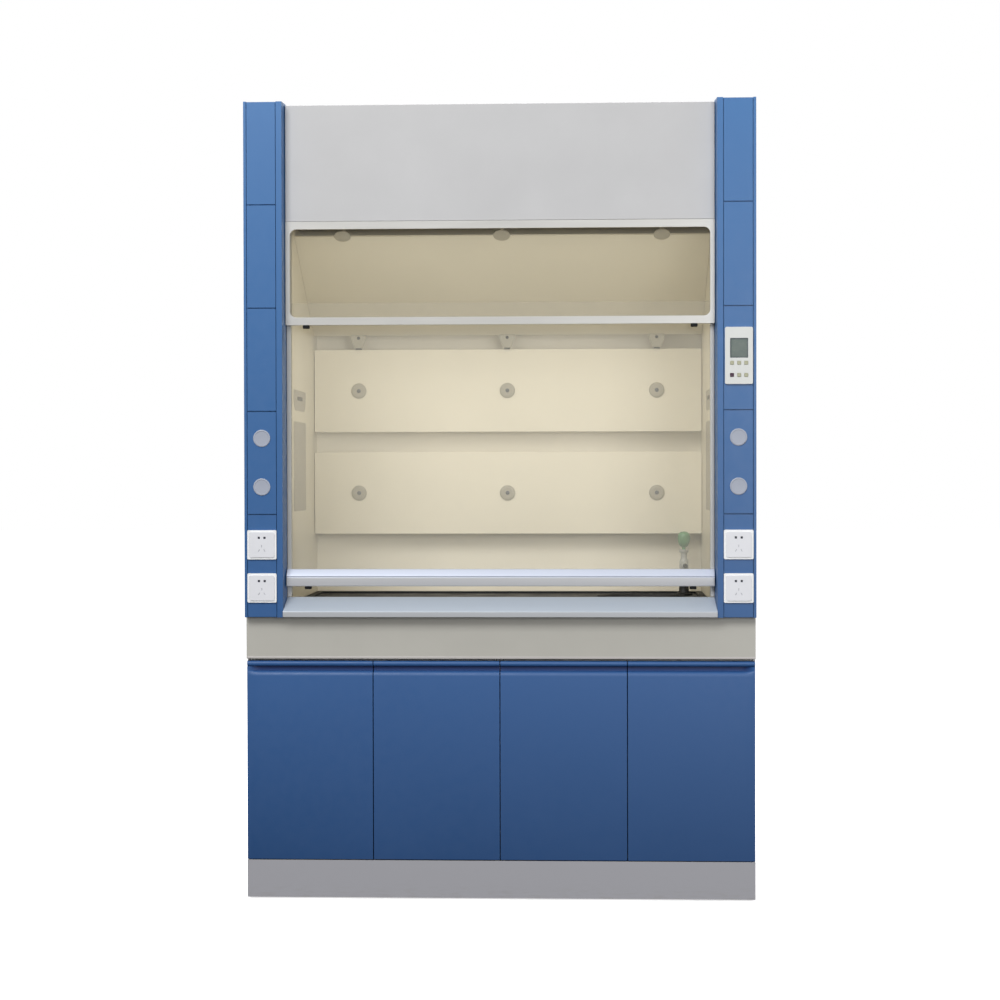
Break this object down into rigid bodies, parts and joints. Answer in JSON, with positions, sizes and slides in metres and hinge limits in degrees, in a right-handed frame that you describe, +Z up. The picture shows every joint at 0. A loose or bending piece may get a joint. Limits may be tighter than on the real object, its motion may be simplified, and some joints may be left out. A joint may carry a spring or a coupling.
{
  "type": "fume hood",
  "caption": "Walk-up laboratory fume hood with a counterbalanced sliding glass sash, rear baffles, cup sink and tap, side service posts and a cupboard base with hinged doors.",
  "frame": {"origin": "on the floor under the middle of the hood's box", "axes": "+X to the user's right, +Y to the back, +Z up"},
  "size_m": [1.5, 0.85, 2.35],
  "materials": {
    "blue_paint": "satin",
    "door_paint": "satin",
    "grey_paint": "satin",
    "warm_grey_paint": "satin",
    "duct_plastic": "satin",
    "aluminium": "satin",
    "liner_board": "satin",
    "worktop_resin": "gloss",
    "black_polymer": "satin",
    "tap_enamel": "satin",
    "tap_green": "satin",
    "socket_white": "satin",
    "screen_grey": "gloss",
    "key_olive": "satin",
    "key_purple": "satin",
    "steel": "satin",
    "belt_rubber": "matte",
    "clear_glass": "polished"
  },
  "bodies": {
    "cabinet": {"side_frame_left": "blue_paint", "side_frame_right": "blue_paint", "service_panel_left": "blue_paint", "service_panel_right": "blue_paint", "base_carcass": "grey_paint", "kick_plate": "grey_paint", "shelf_left": "grey_paint", "shelf_right": "grey_paint", "header_panel": "grey_paint", "back_panel": "grey_paint", "lamp_housing": "grey_paint", "apron_panel": "warm_grey_paint", "exhaust_collar": "duct_plastic", "window_frame": "aluminium", "sash_track_left": "aluminium", "sash_track_right": "aluminium", "airfoil": "aluminium", "liner_left": "liner_board", "liner_right": "liner_board", "liner_rear": "liner_board", "liner_ceiling": "liner_board", "baffle_top": "liner_board", "baffle_middle": "liner_board", "baffle_lower": "liner_board", "worktop": "worktop_resin", "cup_sink": "black_polymer", "tap_body": "tap_enamel", "socket_left_upper": "socket_white", "socket_left_lower": "socket_white", "socket_right_upper": "socket_white", "socket_right_lower": "socket_white", "controller_housing": "socket_white", "controller_screen": "screen_grey", "levelling_foot_1": "steel", "levelling_foot_2": "steel", "levelling_foot_3": "steel", "levelling_foot_4": "steel", "belt_left": "belt_rubber", "belt_right": "belt_rubber", "window_glass": "clear_glass"},
    "door_1_body": {"door_1": "door_paint"},
    "door_2_body": {"door_2": "door_paint"},
    "door_3_body": {"door_3": "door_paint"},
    "door_4_body": {"door_4": "door_paint"},
    "sash": {"sash_glass": "clear_glass", "sash_handle": "aluminium", "sash_stile_left": "aluminium", "sash_stile_right": "aluminium"},
    "weight_left": {"counterweight_left": "steel"},
    "weight_right": {"counterweight_right": "steel"},
    "top_shaft": {"sync_shaft": "steel"},
    "idler_left": {"idler_pulley_left": "steel"},
    "idler_right": {"idler_pulley_right": "steel"},
    "tap_handle": {"tap_knob": "tap_green"},
    "key_1_body": {"key_1": "key_olive"},
    "key_2_body": {"key_2": "key_olive"},
    "key_3_body": {"key_3": "key_olive"},
    "key_4_body": {"key_4": "key_purple"},
    "key_5_body": {"key_5": "key_olive"},
    "key_6_body": {"key_6": "key_olive"}
  },
  "joints": [
    {"name": "door_1_hinge", "type": "hinge", "parent": "cabinet", "child": "door_1_body", "pos_m": [-0.74, -0.383, 0.413], "axis": [0, 0, -1], "range_deg": [0, 110]},
    {"name": "door_2_hinge", "type": "hinge", "parent": "cabinet", "child": "door_2_body", "pos_m": [-0.00975, -0.383, 0.413], "axis": [0, 0, 1], "range_deg": [0, 90]},
    {"name": "door_3_hinge", "type": "hinge", "parent": "cabinet", "child": "door_3_body", "pos_m": [0.00975, -0.383, 0.413], "axis": [0, 0, -1], "range_deg": [0, 90]},
    {"name": "door_4_hinge", "type": "hinge", "parent": "cabinet", "child": "door_4_body", "pos_m": [0.74, -0.383, 0.413], "axis": [0, 0, 1], "range_deg": [0, 110]},
    {"name": "sash_slide", "type": "slide", "parent": "cabinet", "child": "sash", "axis": [0, 0, 1], "range_m": [-0.025, 0.57]},
    {"name": "weight_left_slide", "type": "slide", "parent": "cabinet", "child": "weight_left", "axis": [0, 0, 1], "range_m": [-0.57, 0.025]},
    {"name": "weight_right_slide", "type": "slide", "parent": "cabinet", "child": "weight_right", "axis": [0, 0, 1], "range_m": [-0.57, 0.025]},
    {"name": "top_shaft_spin", "type": "hinge", "parent": "cabinet", "child": "top_shaft", "pos_m": [0, -0.305, 2.29], "axis": [1, 0, 0], "range_deg": [-793, 37]},
    {"name": "idler_left_spin", "type": "hinge", "parent": "cabinet", "child": "idler_left", "pos_m": [-0.69, -0.305, 0.96], "axis": [1, 0, 0], "range_deg": [-793, 37]},
    {"name": "idler_right_spin", "type": "hinge", "parent": "cabinet", "child": "idler_right", "pos_m": [0.69, -0.305, 0.96], "axis": [1, 0, 0], "range_deg": [-793, 37]},
    {"name": "tap_turn", "type": "hinge", "parent": "cabinet", "child": "tap_handle", "pos_m": [0.571, 0.225, 1.04], "axis": [0, 0, 1], "range_deg": [0, 270]},
    {"name": "key_1_press", "type": "slide", "parent": "cabinet", "child": "key_1_body", "axis": [0, 1, 0], "range_m": [0, 0.001], "stiffness_N_per_m": 400, "springref_m": -0.0005},
    {"name": "key_2_press", "type": "slide", "parent": "cabinet", "child": "key_2_body", "axis": [0, 1, 0], "range_m": [0, 0.001], "stiffness_N_per_m": 400, "springref_m": -0.0005},
    {"name": "key_3_press", "type": "slide", "parent": "cabinet", "child": "key_3_body", "axis": [0, 1, 0], "range_m": [0, 0.001], "stiffness_N_per_m": 400, "springref_m": -0.0005},
    {"name": "key_4_press", "type": "slide", "parent": "cabinet", "child": "key_4_body", "axis": [0, 1, 0], "range_m": [0, 0.001], "stiffness_N_per_m": 400, "springref_m": -0.0005},
    {"name": "key_5_press", "type": "slide", "parent": "cabinet", "child": "key_5_body", "axis": [0, 1, 0], "range_m": [0, 0.001], "stiffness_N_per_m": 400, "springref_m": -0.0005},
    {"name": "key_6_press", "type": "slide", "parent": "cabinet", "child": "key_6_body", "axis": [0, 1, 0], "range_m": [0, 0.001], "stiffness_N_per_m": 400, "springref_m": -0.0005}
  ],
  "couplings": [
    {"joint": "weight_left_slide", "follows": "sash_slide", "ratio": -1},
    {"joint": "weight_right_slide", "follows": "sash_slide", "ratio": -1},
    {"joint": "top_shaft_spin", "follows": "sash_slide", "rad_per_m": -24.213},
    {"joint": "idler_left_spin", "follows": "sash_slide", "rad_per_m": -24.213},
    {"joint": "idler_right_spin", "follows": "sash_slide", "rad_per_m": -24.213}
  ]
}
